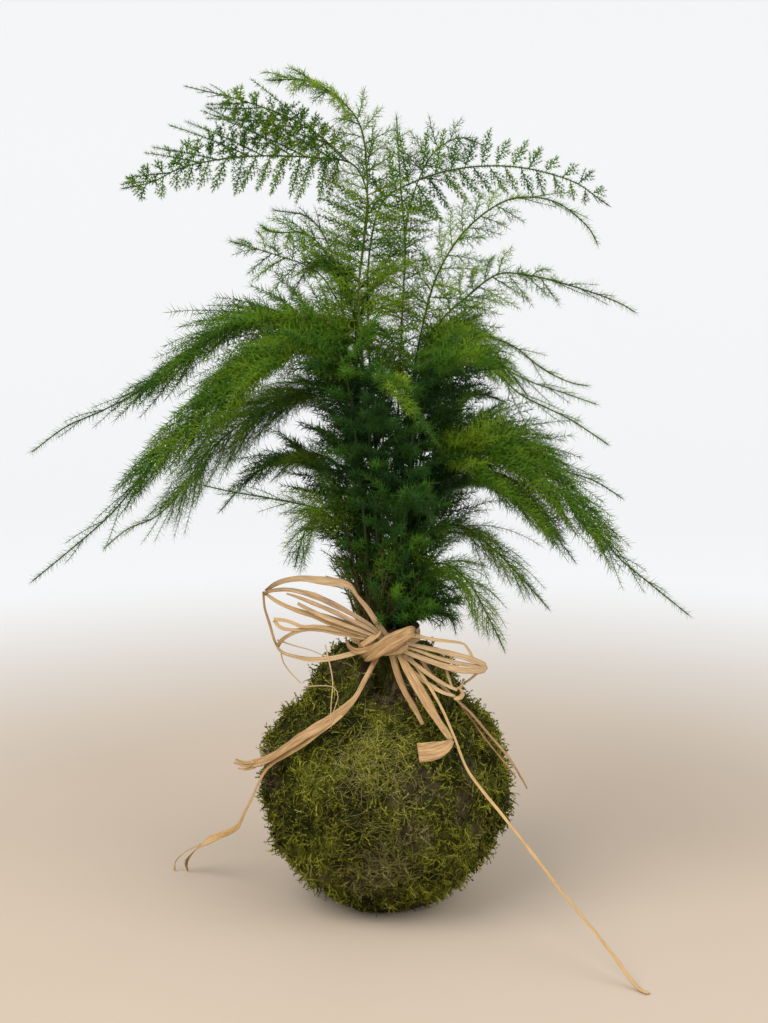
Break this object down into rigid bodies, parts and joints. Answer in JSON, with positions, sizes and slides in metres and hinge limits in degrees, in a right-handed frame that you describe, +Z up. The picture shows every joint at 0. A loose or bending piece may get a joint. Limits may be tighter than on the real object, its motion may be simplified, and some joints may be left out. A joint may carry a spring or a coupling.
{
  "type": "moss ball houseplant",
  "caption": "Feathery asparagus fern growing from a moss-wrapped soil ball, tied at the neck with a natural raffia bow whose tails trail over the ball.",
  "frame": {"origin": "middle of the small flat spot that the ball has settled on", "axes": "+Z up along the plant, -Y towards the side with the raffia bow, +X to the right seen from the bow's side"},
  "size_m": [0.2958, 0.2185, 0.3843],
  "materials": {
    "soil": "moist dark potting soil, matte and crumbly",
    "moss": "living sheet moss, olive to yellow green, with brown dry patches",
    "raffia": "dry natural raffia leaf, straw coloured, faint satin",
    "foliage": "fine green cladode needles on thin wiry stems"
  },
  "bodies": {
    "root": {"soil_ball": "soil", "moss_cover": "moss", "raffia_collar": "raffia", "raffia_knot": "raffia", "raffia_loops_left": "raffia", "raffia_loops_right": "raffia", "raffia_tail_short": "raffia", "raffia_tail_curled": "raffia", "raffia_tail_pair": "raffia", "raffia_tail_long": "raffia", "raffia_tail_left": "raffia", "raffia_tail_left_floor": "raffia", "leafy_stem_top_left": "foliage", "leafy_stem_top_front": "foliage", "leafy_stem_long_arch": "foliage", "leafy_stem_centre": "foliage", "leafy_stem_right_upper": "foliage", "leafy_stem_right_high": "foliage", "leafy_stem_left_high": "foliage", "leafy_stem_left_long": "foliage", "leafy_stem_left_front": "foliage", "leafy_stem_left_back": "foliage", "leafy_stem_right_back": "foliage", "leafy_stem_right_middle": "foliage", "leafy_stem_right_inner": "foliage", "leafy_stem_front": "foliage", "leafy_stem_back_left": "foliage", "leafy_stem_back_right": "foliage", "leafy_stem_front_right": "foliage", "leafy_stem_low_left_back": "foliage", "leafy_stem_low_left": "foliage", "leafy_stem_low_front_left": "foliage", "leafy_stem_low_right_long": "foliage", "leafy_stem_low_right": "foliage", "leafy_stem_low_right_back": "foliage", "leafy_stem_low_right_front": "foliage", "leafy_stem_low_right_short": "foliage", "leafy_stem_low_back": "foliage", "leafy_stem_low_back_right": "foliage", "leafy_stem_low_back_left": "foliage", "leafy_stem_low_front": "foliage"}
  },
  "joints": []
}
